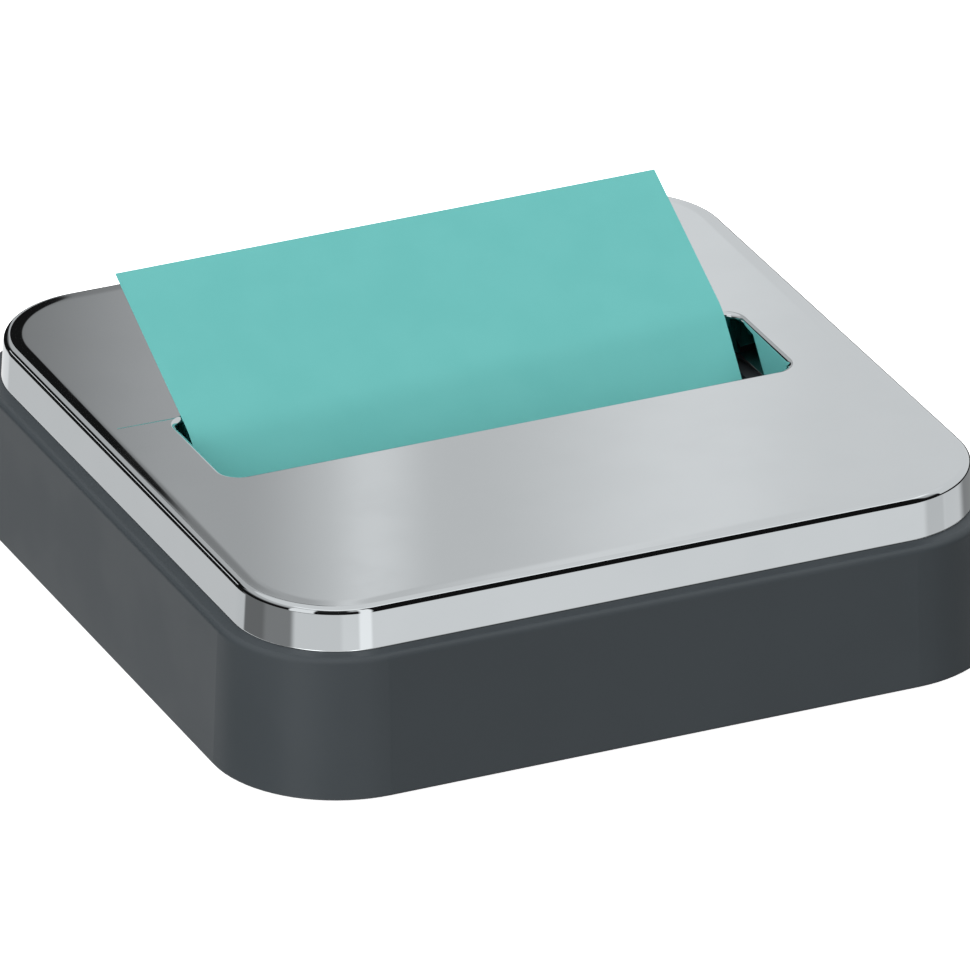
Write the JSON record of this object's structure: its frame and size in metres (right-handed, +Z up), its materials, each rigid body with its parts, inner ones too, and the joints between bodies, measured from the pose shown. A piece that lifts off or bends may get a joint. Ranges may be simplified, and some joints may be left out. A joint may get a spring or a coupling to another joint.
{
  "type": "sticky note dispenser",
  "caption": "Low square desk dispenser for pop-up sticky notes: a weighted moulded base under a polished steel cover with a slot that a note comes up through.",
  "frame": {"origin": "on the desk, under the middle of the base's footprint", "axes": "+Z up, +Y from the front edge to the back, towards which the lifted note leans, +X to the right, along the slot"},
  "size_m": [0.1076, 0.1076, 0.038],
  "materials": {
    "polished_steel": "mirror-polished sheet steel",
    "base_plastic": "fine matte moulded texture, dark slate grey",
    "insert_plastic": "plain matte moulded, black",
    "ballast_iron": "plain flat plate, oiled",
    "screw_steel": "dull zinc",
    "foot_rubber": "matte, slightly soft",
    "note_paper": "smooth matte coloured paper, teal",
    "backing_card": "plain uncoated card"
  },
  "bodies": {
    "root": {"cover_shell": "polished_steel", "cover_insert": "insert_plastic", "base_housing": "base_plastic", "ballast_plate": "ballast_iron", "bottom_plate": "insert_plastic", "bottom_screws": "screw_steel", "foot_front_left": "foot_rubber", "foot_front_right": "foot_rubber", "foot_back_left": "foot_rubber", "foot_back_right": "foot_rubber", "note_pad": "note_paper", "pad_backing": "backing_card", "lifted_note": "note_paper"}
  },
  "joints": []
}
